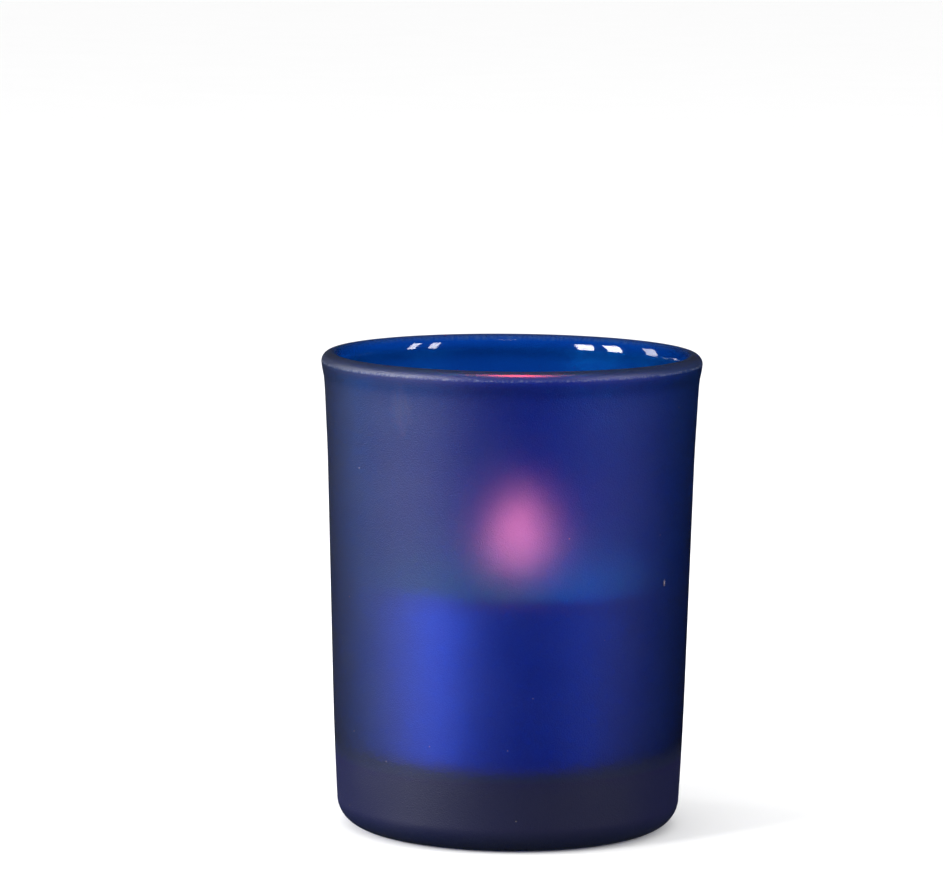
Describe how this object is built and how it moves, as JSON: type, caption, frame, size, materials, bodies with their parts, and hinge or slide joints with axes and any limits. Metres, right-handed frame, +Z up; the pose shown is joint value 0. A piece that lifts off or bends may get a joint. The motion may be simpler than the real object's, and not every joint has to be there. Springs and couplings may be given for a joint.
{
  "type": "votive candle holder",
  "caption": "Frosted blue glass votive cup with a thick floor, holding a lit tealight in its metal cup.",
  "frame": {"origin": "centre of the glass foot, on the surface it stands on", "axes": "+Z up along the cup's axis; the free end of the wick leans towards +X, and the viewer stands on the -Y side"},
  "size_m": [0.0528, 0.0528, 0.066],
  "materials": {
    "cobalt_glass": "frosted outside, clear inside",
    "pressed_aluminium": "bright deep-drawn sheet",
    "paraffin_wax": "waxy",
    "molten_wax": "liquid",
    "sustainer_steel": "tinned sheet",
    "wick_cotton": "braided cotton, charred above the wax"
  },
  "bodies": {
    "holder": {"glass_cup": "cobalt_glass"},
    "tealight": {"tealight_cup": "pressed_aluminium", "wax": "paraffin_wax", "melt_pool": "molten_wax", "wick_sustainer": "sustainer_steel", "wick": "wick_cotton"}
  },
  "joints": [
    {"name": "tealight_lift", "type": "slide", "parent": "holder", "child": "tealight", "axis": [0, 0, 1], "range_m": [0, 0.065]}
  ]
}
